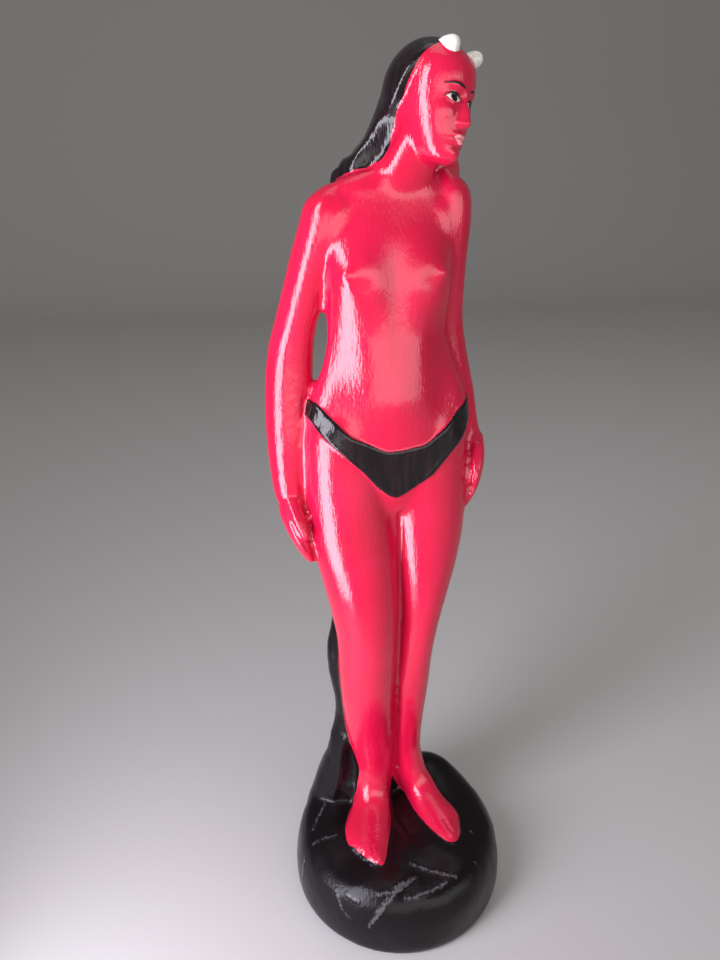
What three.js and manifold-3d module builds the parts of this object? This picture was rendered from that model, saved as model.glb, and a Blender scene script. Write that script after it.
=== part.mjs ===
// A cast and hand-painted figurine: a standing woman with long hair and two small horns, barefoot on a rock.
// Millimetres, +Z up. The origin is the middle of the rock's flat underside. She faces -Y, her left is +X.
import * as THREE from "three";
import { mergeVertices } from "three/addons/utils/BufferGeometryUtils.js";
import Module from "manifold-3d";

const wasm = await Module();
wasm.setup();

// Driving dimensions
const ROCK_TOP = 21.5; // height of the rock under her feet
const ROCK_RADIUS = 34.2; // widest reach of the rock, a little above its underside
const BODY = { x: -4, y: 5 }; // her axis stands a little off the middle of the rock
const HEAD = { x: 9.4, y: -3.6, z: 236.8 }; // middle of the head, from her axis
const HEAD_TURN = 35; // degrees towards her left
const HEAD_NOD = 4; // degrees, the brow leaning forward
const HEAD_TILT = 11; // degrees, the crown leaning to her left
const BAND_RELIEF = 0.45; // how far the band round her hips stands off the skin

// Heights of the body's landmarks
const ANKLE = 36;
const CALF = 70;
const KNEE = 92;
const THIGH = 113;
const CROTCH = 134;
const HIP = 148;
const WAIST = 182;
const BUST = 197;
const SHOULDER = 217;

const LEFT = 1;
const RIGHT = -1;
const FULL_DEPTH = 60; // reach of the shapes that only cut

const RED = new THREE.MeshStandardMaterial({ color: 0xd2143c, roughness: 0.25, metalness: 0 });

// A closed round form that follows a list of stations from bottom to top. A station is
// [height, x, y, half width, depth in front, depth behind]. Squareness 2 gives ellipses, more gives
// boxier sections. Focus draws the corners of the sections towards the front. Grow swells the form.
function loft(stations, { sides = 18, steps = 16, squareness = 2, focus = 0, relief = [], grow = 0 } = {}) {
  const point = (a, b, c) => new THREE.Vector3(a, b, c);
  const curve = (points) => new THREE.CatmullRomCurve3(points, false, "catmullrom");
  const spine = curve(stations.map(([z, x, y]) => point(x, y, z)));
  const girth = curve(stations.map((s) => point(s[3], s[4], s[5])));
  const shape = new THREE.CylinderGeometry(1, 1, 1, sides, steps);
  const position = shape.attributes.position;
  for (let i = 0; i < position.count; i++) {
    const along = position.getY(i) + 0.5;
    const reach = Math.hypot(position.getX(i), position.getZ(i));
    const even = Math.atan2(position.getX(i), position.getZ(i));
    const angle = even - focus * Math.sin(even);
    const across = Math.sin(angle);
    const back = -Math.cos(angle);
    const corner = Math.abs(across) ** squareness + Math.abs(back) ** squareness;
    const round = reach * corner ** (-1 / squareness);
    const centre = spine.getPoint(along);
    const size = girth.getPoint(along);
    const x = centre.x + across * round * (size.x + grow);
    const y = centre.y + back * round * ((back < 0 ? size.y : size.z) + grow);
    position.setXYZ(i, x, y + carve(relief, x, back, centre.z), centre.z);
  }
  return shape;
}

// The shift along Y that a list of soft bumps and hollows gives a point. A bump is
// [x, height, half width, half height, rise in front], and one with a sixth entry is on her back.
function carve(relief, x, back, z) {
  return relief.reduce((shift, [bx, bz, wide, high, rise, behind]) => {
    if (back > 0 !== Boolean(behind)) return shift;
    const fade = Math.min(1, Math.abs(back) * 2.5);
    const bell = Math.exp(-(((x - bx) / wide) ** 2) - ((z - bz) / high) ** 2);
    return shift + (behind ? 1 : -1) * rise * bell * fade;
  }, 0);
}

// A bump and its mirror image.
const pair = ([x, ...rest]) => [[x, ...rest], [-x, ...rest]];

// An egg with its own half width, depth and height.
function egg(x, y, z, wide, deep, high, sides = 12, rings = 8) {
  const ball = new THREE.SphereGeometry(1, sides, rings);
  return ball.scale(wide, high, deep).rotateX(Math.PI / 2).translate(x, y, z);
}

// A slab along Y, from one depth to another, over an outline of [x, z] points.
function slab(outline, from, to) {
  const shape = new THREE.Shape(outline.map(([x, z]) => new THREE.Vector2(x, z)));
  return new THREE.ExtrudeGeometry(shape, { depth: to - from, bevelEnabled: false })
    .rotateX(Math.PI / 2)
    .translate(0, to, 0);
}

// One closed geometry as a solid.
function solid(geometry) {
  const bare = new THREE.BufferGeometry();
  bare.setAttribute("position", geometry.getAttribute("position"));
  if (geometry.index) bare.setIndex(geometry.index);
  const merged = mergeVertices(bare, 1e-4);
  return new wasm.Manifold(
    new wasm.Mesh({
      numProp: 3,
      vertProperties: merged.attributes.position.array,
      triVerts: new Uint32Array(merged.index.array),
    }),
  );
}

const join = (geometries) => geometries.map(solid).reduce((all, next) => all.add(next));

// From the head's own frame, its middle at the origin and its face towards -Y, to the body's.
function headToBody() {
  const turn = new THREE.Matrix4().makeRotationZ(THREE.MathUtils.degToRad(HEAD_TURN));
  const tilt = new THREE.Matrix4().makeRotationY(THREE.MathUtils.degToRad(HEAD_TILT));
  const nod = new THREE.Matrix4().makeRotationX(THREE.MathUtils.degToRad(HEAD_NOD));
  const place = new THREE.Matrix4().makeTranslation(HEAD.x, HEAD.y, HEAD.z);
  return place.multiply(turn).multiply(tilt).multiply(nod);
}

const TORSO = [
  [128, 0.2, 1.2, 6, 6, 7],
  [CROTCH, 0.2, 1.2, 12.5, 9.4, 10.6],
  [141, 0.2, 1.2, 19.4, 10.6, 12.8],
  [HIP, 0.2, 1, 22.6, 11.2, 13.2],
  [155, 0.3, 0.6, 23.4, 11.3, 12.8],
  [162, 0.5, 0.3, 22.8, 10.9, 11.4],
  [168, 0.6, 0, 20.8, 10.4, 9.8],
  [175, 0.5, 0, 18, 9.6, 8.3],
  [WAIST, 0.2, 0.5, 16.5, 9, 7.6],
  [190, 0.2, 1.3, 16.8, 9.3, 7.9],
  [BUST, 0.1, 2, 17.5, 9.4, 8.6],
  [205, 0, 2.8, 18, 8.8, 9.2],
  [211, 0.2, 3.4, 18.4, 7.8, 8.8],
  [SHOULDER - 1, 0.5, 3.6, 17.6, 6.8, 7.8],
  [SHOULDER + 2.5, 1.2, 3.4, 14.6, 5.8, 6.8],
  [SHOULDER + 5, 2.2, 3, 9.6, 4.8, 5.6],
];

const TORSO_RELIEF = [
  ...pair([11, BUST, 7.5, 8, 2.6]), // breasts
  [0, BUST, 3.4, 7, -0.7], // hollow between them
  [0.3, 184, 1.6, 9, -0.5], // line down the belly
  ...pair([14.5, 174, 6.5, 15, -2.4]), // flanks
  [0.4, 164, 7, 7, 0.9], // belly
  [0.5, 170.5, 1.2, 1.3, -0.9], // navel
  ...pair([9, 218, 6, 1.2, 0.5]), // collar bones
  ...pair([8.4, 205, 5, 5.5, 0.9, true]), // shoulder blades
  [0.2, 190, 1.8, 18, -1.2, true], // spine
  ...pair([10, 146, 7, 9, 3, true]), // buttocks
  [0, 146, 1.8, 9, -2, true],
];

function torso(grow = 0) {
  return loft(TORSO, { sides: 30, steps: 30, squareness: 2.2, focus: 0.25, relief: TORSO_RELIEF, grow });
}

const LEGS = {
  [RIGHT]: [
    [ROCK_TOP + 1, -1.6, 4.6, 5.6, 4.8, 5.6],
    [ANKLE, -1.5, 4.2, 6, 5.2, 5.6],
    [ANKLE + 6, -1.9, 3.8, 6.7, 5.6, 5.8],
    [ANKLE + 12, -2.8, 3.2, 7.3, 6.2, 6.4],
    [CALF - 13, -3.9, 2.3, 7.9, 7.2, 7.4],
    [CALF, -4.9, 0.9, 8.5, 8.8, 9],
    [CALF + 11, -5.4, -0.3, 8.9, 9.6, 9.2],
    [KNEE, -6, -1.6, 9.2, 10.6, 8.8],
    [KNEE + 11, -7.1, -2, 10.3, 11.2, 10],
    [THIGH, -8.4, -1.6, 11.3, 11.4, 11.4],
    [THIGH + 11, -9.9, -0.8, 12.3, 11.4, 12.4],
    [CROTCH + 2, -11.1, 0.2, 12.4, 11.1, 12.8],
    [HIP, -11.7, 1, 12.2, 10.7, 12.6],
    [HIP + 9, -11.3, 0.6, 11.6, 10, 11.4],
    [HIP + 16, -10.4, 0.4, 8.6, 7.4, 7.6],
  ],
  [LEFT]: [
    [ROCK_TOP + 1, 13.2, 5.4, 5, 4.8, 5.4],
    [ANKLE, 10.9, 5.4, 4.7, 4.9, 5.4],
    [ANKLE + 8, 10, 5.2, 4.8, 5.2, 5.8],
    [CALF - 13, 9.4, 4.3, 5.5, 7.3, 7.4],
    [CALF, 9.2, 3.2, 6.5, 8.8, 9],
    [CALF + 11, 9.4, 2.2, 6.4, 9.8, 9.2],
    [KNEE, 9.9, 1.2, 6.8, 10.8, 8.8],
    [KNEE + 11, 10.8, 0.6, 8.1, 11.4, 10],
    [THIGH, 11.5, 0.4, 9.9, 11.6, 11.4],
    [THIGH + 11, 12, 0.4, 11.4, 11.4, 12.4],
    [CROTCH + 2, 12.1, 0.8, 12.1, 11.2, 12.8],
    [HIP, 11.9, 1, 12.1, 10.7, 12.6],
    [HIP + 9, 11.5, 0.6, 11.6, 10, 11.4],
    [HIP + 16, 10.6, 0.4, 8.6, 7.4, 7.6],
  ],
};

function leg(side, grow = 0) {
  return loft(LEGS[side], { sides: 16, steps: 18, squareness: 2.1, grow });
}

// The plaster that fills the cleft between her legs.
function web() {
  return loft(
    [
      [ROCK_TOP - 2, 5, 6.6, 5, 2.6, 4],
      [ANKLE - 7, 5, 6.4, 4.2, 2.6, 4],
      [ANKLE + 5, 4.6, 5.4, 4, 3.2, 4.4],
      [CALF - 12, 4.4, 3.8, 4, 4, 5],
      [CALF + 10, 3.8, 1.8, 3.6, 5.4, 6],
      [THIGH, 2.6, 0.8, 3.4, 7.6, 7],
      [CROTCH, 0.8, 1, 3, 8.6, 8],
    ],
    { sides: 8, steps: 7 },
  );
}

// The raised band that dips to a point in front and covers the seat behind.
const BAND_FRONT = [
  [-30, 170], [-24.4, 167], [-20.3, 164.8], [-18.7, 163.2], [-16.5, 160.8], [-14.1, 158.2], [-12.4, 156.7],
  [-9.1, 155.2], [-5.6, 153.5], [-2.9, 152.3], [0.5, 152.4], [3.9, 152.9], [7.4, 153.3], [9.2, 154.1],
  [11.3, 155.8], [13.8, 157.6], [16.2, 159.8], [19.6, 162.3], [22.9, 164.6], [30, 168], [30, 163.4],
  [24.4, 159.6], [21.6, 156], [19.5, 153.6], [15.9, 150.4], [12.8, 147.2], [10.4, 144.5], [8.1, 142.8],
  [5.5, 141.1], [2.6, 139.3], [0.4, 138.4], [-1.7, 139.2], [-4.6, 141.4], [-6.9, 144], [-8.9, 146.4],
  [-12.4, 149.7], [-15.4, 152.5], [-18.3, 155.3], [-20.5, 157.7], [-22, 160.2], [-25, 163.4], [-30, 166],
];
const BAND_BACK = [
  [-30, 170], [-20, 165.5], [-10, 163], [0.5, 162], [10, 163], [20, 165.5], [30, 168], [30, 163.4],
  [23, 157], [16, 148], [9, 139.6], [4, 134.6], [0.4, 132.4], [-4, 134.6], [-9, 139.6], [-16, 148],
  [-23, 158], [-30, 166],
];

function band() {
  const skin = join([torso(BAND_RELIEF), leg(LEFT, BAND_RELIEF), leg(RIGHT, BAND_RELIEF)]);
  const cut = solid(slab(BAND_FRONT, -FULL_DEPTH, 1)).add(solid(slab(BAND_BACK, 1, FULL_DEPTH)));
  return skin.intersect(cut);
}

// The neck, and the fuller flesh that runs from it up into her right cheek.
function neck() {
  const column = [
    [SHOULDER - 5, 1, 3.4, 13, 6.4, 6.4],
    [SHOULDER + 2, 2, 3, 11, 6.4, 6.4],
    [SHOULDER + 5, 3.2, 2.4, 8.6, 6, 6.2],
    [SHOULDER + 9, 5.6, 0.8, 7, 5.8, 6],
    [HEAD.z - 5, 8.2, -1.8, 6.6, 5.6, 6.4],
  ];
  const throat = [
    [SHOULDER - 5, 2, 3, 8, 4.6, 5],
    [SHOULDER, 2.6, 2, 8, 5.2, 5],
    [SHOULDER + 4, 4, 0.2, 7.4, 5, 5],
    [HEAD.z - 11, 5.8, -2.2, 6.9, 4.9, 5],
    [HEAD.z - 6, 7.4, -4.2, 6.2, 4.6, 5],
    [HEAD.z - 1, 8, -5, 4, 3.4, 4],
  ];
  return [loft(column, { sides: 16, steps: 6 }), loft(throat, { sides: 12, steps: 7 })];
}

const ARMS = {
  [RIGHT]: [
    [137, -27.4, 1.8, 4, 4.4, 4.4],
    [143, -27.5, 2.8, 4.9, 5, 5],
    [151, -27.1, 4, 5.8, 5.6, 5.6],
    [160, -26.7, 5.2, 6.3, 5.8, 5.8],
    [169, -26, 6.2, 6.5, 6, 6],
    [178, -25.1, 6.8, 6.2, 6.2, 6],
    [185, -23.5, 6.7, 5.8, 6.4, 6.2],
    [193, -21.1, 6.2, 6, 6.8, 6.4],
    [201, -18.7, 5.4, 6.3, 7, 6.8],
    [209, -16.4, 4.4, 6.2, 6.8, 6.8],
    [215, -14.8, 4, 5.8, 5.8, 6.2],
    [219, -12.6, 3.8, 2.8, 2.8, 3],
  ],
  [LEFT]: [
    [147.5, 26.4, 3, 3.8, 4.2, 4.2],
    [151, 25.3, 3.6, 4.5, 4.8, 4.8],
    [157, 23.4, 4.6, 5.3, 5.4, 5.4],
    [164, 21.9, 5.8, 6, 5.8, 5.8],
    [174, 19.6, 6.6, 6.1, 6, 6],
    [184, 17.8, 6.6, 5.9, 6.2, 6],
    [193, 17.2, 6, 6, 6.8, 6.4],
    [202, 17.1, 5.2, 6.2, 7, 6.8],
    [211, 17.3, 4.2, 6.2, 6.8, 6.8],
    [218.2, 17, 3.8, 5.6, 5.8, 6.2],
    [222.8, 15.2, 3.8, 2.6, 2.8, 3],
  ],
};

// An arm, and the flesh that fills the corner between its shoulder and the chest.
function arm(side) {
  const corner = [
    [197, 14.6, 3, 2.6, 2.6, 3],
    [202, 14.6, 2.8, 4.8, 5, 4],
    [208, 14, 2.8, 6, 6, 4],
    [214, 12.6, 3.2, 5.6, 5.9, 4],
    [218.5, 10.4, 3.4, 3, 3.4, 3],
  ];
  const placed = corner.map(([z, x, ...rest]) => [z, side * x, ...rest]);
  return [loft(ARMS[side], { sides: 12, steps: 15 }), loft(placed, { sides: 10, steps: 6 })];
}

// A hand that lies against the outside of the thigh, its fingers together and the thumb in front. Her left
// hand is held higher.
function hand(side) {
  const up = side === LEFT ? 12 : 0;
  const inwards = side === LEFT ? 0.7 : 0;
  const lift = (list) => list.map(([z, x, ...rest]) => [z + up, side * (x - inwards), ...rest]);
  const mitten = [
    [118.6, 22.6, -2, 0.5, 1.2, 1.2],
    [120, 23.2, -1.8, 1.5, 3.4, 3.2],
    [124, 24.9, -1.2, 2.3, 5, 4.6],
    [129, 26.4, -0.2, 3.1, 5.5, 4.8],
    [134, 27, 1, 3.9, 5, 4.4],
    [140, 27.2, 2, 3.4, 3.8, 3.8],
  ];
  const thumb = [
    [127.4, 24.6, -7, 0.6, 0.5, 0.5],
    [128.8, 25, -6.6, 1.4, 1.3, 1.3],
    [133, 26.4, -4.8, 2, 1.6, 1.8],
    [138.4, 27.8, -1.8, 1.8, 1.4, 1.6],
  ];
  return [loft(lift(mitten), { sides: 14, steps: 10 }), loft(lift(thumb), { sides: 7, steps: 4 })];
}

// The feet, each built about its ankle with the toes towards -Y and then turned. The toes aren't parted. A
// station is [distance forward, x, height, half width, depth below, depth above].
const FEET = {
  [RIGHT]: {
    x: -1.2,
    y: 4.6,
    turn: -25,
    sole: [
      [-6, 0, 3.4, 1, 1.4, 1.6],
      [-4.2, 0, 3.6, 3.6, 3.6, 4.4],
      [1, 0.1, 4.4, 4.8, 4.4, 7.2],
      [7, 0.2, 4.2, 5.8, 4.2, 9.4],
      [9.6, 0.2, 3.9, 6.3, 3.9, 6.8],
      [13, 0.1, 3.4, 6.8, 3.4, 4.7],
      [19, 0.3, 2.7, 7.1, 2.7, 3.4],
      [23.6, 1.4, 2.2, 6.4, 2.2, 2.7],
      [27, 3.6, 2, 4.3, 2, 2.2],
      [29.6, 5.3, 1.8, 2.3, 1.6, 1.7],
      [30.6, 6, 1.6, 0.8, 0.6, 0.6],
    ],
  },
  [LEFT]: {
    x: 13.8,
    y: 5.6,
    turn: 8,
    sole: [
      [-6, 0, 3.4, 1, 1.4, 1.6],
      [-4.2, 0, 3.6, 3.6, 3.6, 4.4],
      [1, 0.2, 4.4, 4.8, 4.4, 7.2],
      [7, -0.3, 4.2, 4.9, 4.2, 9],
      [9.6, -0.1, 3.9, 5.2, 3.9, 6.6],
      [13, 0.2, 3.4, 5.6, 3.4, 4.4],
      [19, 1.2, 2.7, 6, 2.7, 3.4],
      [23.6, 0.7, 2.2, 4.9, 2.2, 2.7],
      [27, 0.4, 2, 3.3, 2, 2.2],
      [28.9, 0.1, 1.8, 1.8, 1.6, 1.7],
      [29.5, 0, 1.6, 0.6, 0.6, 0.6],
    ],
  },
};

function foot(side) {
  const { x, y, turn, sole } = FEET[side];
  return loft(sole, { sides: 14, steps: 16 })
    .rotateX(Math.PI / 2)
    .translate(0, 2, 0)
    .rotateZ(THREE.MathUtils.degToRad(turn))
    .translate(x, y, ROCK_TOP - 1.6);
}

const HEAD_RELIEF = [
  ...pair([3.5, -0.1, 2.1, 1.5, -1.2]), // eye sockets
  ...pair([3.5, -0.3, 1.5, 1, 0.9]), // eyes
  ...pair([3.4, 2.1, 2.4, 0.9, 0.5]), // brows
  [0, -4.6, 1.3, 1.5, 2.8], // tip of the nose
  [0, -1.8, 1, 2.4, 1.5], // its bridge
  ...pair([1.5, -5, 0.9, 0.8, 0.8]), // its wings
  [0, -8.1, 2.3, 1.1, 1], // lips
  [0, -9.9, 2, 0.7, -0.4],
  [0, -12, 2.3, 1.5, 0.8], // chin
  ...pair([5, -4, 2.4, 2.8, 0.6]), // cheeks
];

function head() {
  return loft(
    [
      [-13.6, 0, -5.4, 2, 2, 2],
      [-12.8, 0, -4.6, 3.6, 3.8, 3.6],
      [-10.5, 0, -3.4, 5.4, 5.6, 6],
      [-7, 0, -2, 7, 7.4, 8.4],
      [-3, 0, -0.8, 8.1, 8.6, 9.8],
      [1, 0, -0.2, 8.7, 9, 10.8],
      [5, 0, 0, 8.9, 9.2, 11],
      [8.6, 0, 0.2, 8, 8.4, 10],
      [11.2, 0, 0.4, 6, 6.2, 7.6],
      [12.8, 0, 0.6, 2.6, 2.8, 3.4],
    ],
    { sides: 26, steps: 24, squareness: 2.15, focus: 0.5, relief: HEAD_RELIEF },
  );
}

// The hair on her head: a thick cap, cut away from the face along a line that runs from the brow's top
// down behind the cheeks. The opening's outline is [y, z] in the head's own frame.
const FACE_OPENING = [
  [-30, 14], [-4.4, 14], [-2.6, 11.4], [-1.8, 9], [-0.6, 6], [1, 2], [2.6, -1.6], [4, -4.2], [6, -6.2],
  [8, -7.6], [8, -16], [-30, -16],
];

function crown() {
  const cap = solid(egg(0, 2.4, 2, 10.3, 11.2, 12.2, 20, 14));
  const opening = slab(FACE_OPENING, -FULL_DEPTH, FULL_DEPTH).rotateZ(Math.PI / 2);
  return cap.subtract(solid(opening));
}

// Where the horns stand, in the head's own frame: her left one and her right one.
const HORN_PLACES = [
  [5.3, -5.4, 11.2],
  [-4.3, -5, 11.4],
];

function horns() {
  return HORN_PLACES.map((at) =>
    loft(
      [
        [-2.6, 0, 0, 0.5, 0.5, 0.5],
        [-1.4, 0, 0, 1.3, 1.3, 1.3],
        [0.6, 0, 0, 1.85, 1.85, 1.85],
        [2, 0, 0, 1.5, 1.5, 1.5],
        [2.6, 0, 0, 0.5, 0.5, 0.5],
      ],
      { sides: 8, steps: 5 },
    )
      .rotateX(1.75)
      .translate(...at),
  );
}

// The hair that falls behind her neck and over the back of both shoulders.
function fall() {
  return loft(
    [
      [178, 1, 11.4, 1.5, 1.6, 1.2],
      [182, 1, 11.4, 6.4, 2.8, 2.2],
      [192, 1.4, 12.2, 12, 3.2, 2.6],
      [203, 2.2, 13, 15.6, 3.8, 2.8],
      [212, 3.2, 12.8, 17.2, 4.6, 3.4],
      [218.6, 4.4, 10.8, 17.2, 6.2, 4],
      [222.5, 4.7, 9, 17, 7.6, 4.6],
      [228, 6.3, 6.4, 12.8, 7.4, 4.6],
      [234, 6.6, 4.2, 10, 7.4, 5],
      [240, 6.4, 2.6, 7.8, 5.4, 5],
      [245, 6.4, 1.2, 6, 3.4, 4],
      [248, 6.8, 0.4, 3, 1.6, 2],
    ],
    { sides: 18, steps: 15, squareness: 2.6 },
  );
}

// Rises of the rock's upper side: [x, y, half width, half depth, rise].
const HEAPS = [
  [20, 19, 13, 11, 5.4],
  [-16, 20, 12, 10, 5],
  [-22, -14, 10, 9, -1.6],
  [24, -12, 9, 9, -1.2],
  [2, -24, 8, 6, -1.4],
];

function heap(geometry) {
  const position = geometry.attributes.position;
  for (let i = 0; i < position.count; i++) {
    const [x, y, z] = [position.getX(i), position.getY(i), position.getZ(i)];
    const share = Math.max(0, z / ROCK_TOP) ** 2;
    const rise = HEAPS.reduce((sum, [hx, hy, wide, deep, up]) => {
      return sum + up * Math.exp(-(((x - hx) / wide) ** 2) - ((y - hy) / deep) ** 2);
    }, 0);
    position.setZ(i, z + rise * share);
  }
  return geometry;
}

function rock() {
  const ring = (z, inset) => [z, 0, 0, ...Array(3).fill(ROCK_RADIUS - inset)];
  const boulder = loft(
    [
      ring(0, 1),
      ring(2.4, 0.2),
      ring(8, 0),
      ring(13, 0.5),
      ring(17.5, 2.1),
      ring(20.8, 5.2),
      ring(22.6, 11.2),
      ring(23, 20),
      ring(22.4, ROCK_RADIUS - 0.5),
    ],
    { sides: 30, steps: 10 },
  );
  const spur = loft(
    [
      [0, -8.6, 15.4, 18.4, 10, 12],
      [8, -8.8, 15.8, 19.4, 10, 12.8],
      [16, -9, 15.8, 19, 10, 13],
      [24, -9, 15.6, 17, 9, 12],
      [36, -8.4, 15, 13.8, 8, 9],
      [46, -7.8, 14.6, 11.7, 8, 7],
      [58, -7.4, 14.6, 10.4, 8, 6],
      [74, -8, 14.4, 11.9, 8, 5.6],
      [84, -8, 14, 12.2, 8, 5.4],
      [95, -7.4, 13.4, 10.8, 8, 5],
      [104, -8.2, 12.4, 8.8, 7, 4.6],
      [109.5, -9, 11.6, 6.4, 5, 3.6],
      [111.5, -9.4, 11.2, 3, 2, 1.6],
    ],
    { sides: 12, steps: 13 },
  );
  return join([heap(boulder), spur]);
}

function figurine() {
  const limbs = [LEFT, RIGHT].flatMap((side) => [...arm(side), ...hand(side), leg(side), foot(side)]);
  const skull = join([head(), ...horns()]).add(crown()).transform(headToBody().elements);
  return join([torso(), ...neck(), ...limbs, web(), fall()])
    .add(band())
    .add(skull)
    .translate([BODY.x, BODY.y, 0])
    .add(rock());
}

function toGeometry(manifold) {
  const { numProp, numVert, vertProperties, triVerts } = manifold.getMesh();
  const position = new Float32Array(numVert * 3);
  for (let i = 0; i < numVert; i++) {
    position.set(vertProperties.subarray(i * numProp, i * numProp + 3), i * 3);
  }
  const geometry = new THREE.BufferGeometry();
  geometry.setAttribute("position", new THREE.BufferAttribute(position, 3));
  geometry.setIndex(new THREE.BufferAttribute(triVerts, 1));
  geometry.computeVertexNormals();
  return geometry;
}

const part = new THREE.Group();
const cast = new THREE.Mesh(toGeometry(figurine()), RED);
cast.name = "figurine";
part.add(cast);

export default part;
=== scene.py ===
import math

import bmesh
import bpy
import numpy as np
from mathutils import Matrix, Vector, noise
from mathutils.bvhtree import BVHTree


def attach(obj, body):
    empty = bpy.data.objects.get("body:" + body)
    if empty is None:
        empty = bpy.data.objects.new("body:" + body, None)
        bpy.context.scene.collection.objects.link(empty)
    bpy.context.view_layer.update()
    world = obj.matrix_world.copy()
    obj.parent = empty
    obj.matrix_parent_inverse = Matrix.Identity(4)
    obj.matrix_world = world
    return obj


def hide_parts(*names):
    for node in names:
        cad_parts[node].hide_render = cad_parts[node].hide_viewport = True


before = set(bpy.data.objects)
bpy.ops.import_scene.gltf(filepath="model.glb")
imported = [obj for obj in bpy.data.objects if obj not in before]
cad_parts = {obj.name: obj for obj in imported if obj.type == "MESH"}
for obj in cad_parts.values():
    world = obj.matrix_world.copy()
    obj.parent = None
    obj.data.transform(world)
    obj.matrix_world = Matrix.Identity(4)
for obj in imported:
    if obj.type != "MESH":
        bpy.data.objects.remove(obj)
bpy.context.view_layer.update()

bl_info = {
    "name": "Painted Plaster Figurine",
    "version": (1, 0, 0),
    "blender": (4, 5, 0),
    "location": "3D View > Sidebar > Figurine",
    "description": "A cast plaster figurine of a woman on a rock, hand-painted in gloss enamel",
    "category": "Object",
}

# The modelling works in millimetres, and the finished mesh is brought to metres at the end.
MM = 0.001
LEFT = 1
RIGHT = -1
MOST_TRIANGLES = 199000

# Driving dimensions, the same as the solid's
ROCK_TOP = 21.5
ROCK_RADIUS = 34.2
BODY = Vector((-4, 5, 0))
HEAD = Vector((9.4, -3.6, 236.8))
HEAD_TURN = 35
HEAD_NOD = 4
HEAD_TILT = 11
ANKLE = 36
CALF = 70
KNEE = 92
THIGH = 113
CROTCH = 134
HIP = 148
WAIST = 182
BUST = 197
SHOULDER = 217


def both(x, *rest):
    """The same row on her right and on her left."""
    return (-x, *rest), (x, *rest)


# Stations are (height, x, y, half width, depth in front, depth behind), from bottom to top.
TORSO = (
    (128, 0.2, 1.2, 6, 6, 7),
    (CROTCH, 0.2, 1.2, 12.5, 9.4, 10.6),
    (141, 0.2, 1.2, 19.4, 10.6, 12.8),
    (HIP, 0.2, 1, 22.6, 11.2, 13.2),
    (155, 0.3, 0.6, 23.4, 11.3, 12.8),
    (162, 0.5, 0.3, 22.8, 10.9, 11.4),
    (168, 0.6, 0, 20.8, 10.4, 9.8),
    (175, 0.5, 0, 18, 9.6, 8.3),
    (WAIST, 0.2, 0.5, 16.5, 9, 7.6),
    (190, 0.2, 1.3, 16.8, 9.3, 7.9),
    (BUST, 0.1, 2, 17.5, 9.4, 8.6),
    (205, 0, 2.8, 18, 8.8, 9.2),
    (211, 0.2, 3.4, 18.4, 7.8, 8.8),
    (SHOULDER - 1, 0.5, 3.6, 17.6, 6.8, 7.8),
    (SHOULDER + 2.5, 1.2, 3.4, 14.6, 5.8, 6.8),
    (SHOULDER + 5, 2.2, 3, 9.6, 4.8, 5.6),
)
# Soft bumps and hollows of the torso: (x, height, half width, half height, rise), in front and behind.
TORSO_FRONT = (
    *both(11, BUST, 7.5, 8, 2.6),
    (0, BUST, 3.4, 7, -0.7),
    (0.3, 186, 2.4, 9, -0.4),
    *both(14.5, 174, 6.5, 15, -2.4),
    (0.4, 164, 7, 7, 0.9),
    *both(9, 218, 6, 1.4, 0.4),
)
TORSO_BACK = (
    *both(8.4, 205, 5, 5.5, 0.9),
    (0.2, 190, 1.8, 18, -1.2),
    *both(10, 146, 7, 9, 3),
    (0, 146, 1.8, 9, -2),
)
RIGHT_LEG = (
    (ROCK_TOP + 1, -1.6, 4.6, 5.6, 4.8, 5.6),
    (ANKLE, -1.5, 4.2, 6, 5.2, 5.6),
    (ANKLE + 6, -1.9, 3.8, 6.7, 5.6, 5.8),
    (ANKLE + 12, -2.8, 3.2, 7.3, 6.2, 6.4),
    (CALF - 13, -3.9, 2.3, 7.9, 7.2, 7.4),
    (CALF, -4.9, 0.9, 8.5, 8.8, 9),
    (CALF + 11, -5.4, -0.3, 8.9, 9.6, 9.2),
    (KNEE, -6, -1.6, 9.2, 10.6, 8.8),
    (KNEE + 11, -7.1, -2, 10.3, 11.2, 10),
    (THIGH, -8.4, -1.6, 11.3, 11.4, 11.4),
    (THIGH + 11, -9.9, -0.8, 12.3, 11.4, 12.4),
    (CROTCH + 2, -11.1, 0.2, 12.4, 11.1, 12.8),
    (HIP, -11.7, 1, 12.2, 10.7, 12.6),
    (HIP + 9, -11.3, 0.6, 11.6, 10, 11.4),
    (HIP + 16, -10.4, 0.4, 8.6, 7.4, 7.6),
)
LEFT_LEG = (
    (ROCK_TOP + 1, 13.2, 5.4, 5, 4.8, 5.4),
    (ANKLE, 10.9, 5.4, 4.7, 4.9, 5.4),
    (ANKLE + 8, 10, 5.2, 4.8, 5.2, 5.8),
    (CALF - 13, 9.4, 4.3, 5.5, 7.3, 7.4),
    (CALF, 9.2, 3.2, 6.5, 8.8, 9),
    (CALF + 11, 9.4, 2.2, 6.4, 9.8, 9.2),
    (KNEE, 9.9, 1.2, 6.8, 10.8, 8.8),
    (KNEE + 11, 10.8, 0.6, 8.1, 11.4, 10),
    (THIGH, 11.5, 0.4, 9.9, 11.6, 11.4),
    (THIGH + 11, 12, 0.4, 11.4, 11.4, 12.4),
    (CROTCH + 2, 12.1, 0.8, 12.1, 11.2, 12.8),
    (HIP, 11.9, 1, 12.1, 10.7, 12.6),
    (HIP + 9, 11.5, 0.6, 11.6, 10, 11.4),
    (HIP + 16, 10.6, 0.4, 8.6, 7.4, 7.6),
)
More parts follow.
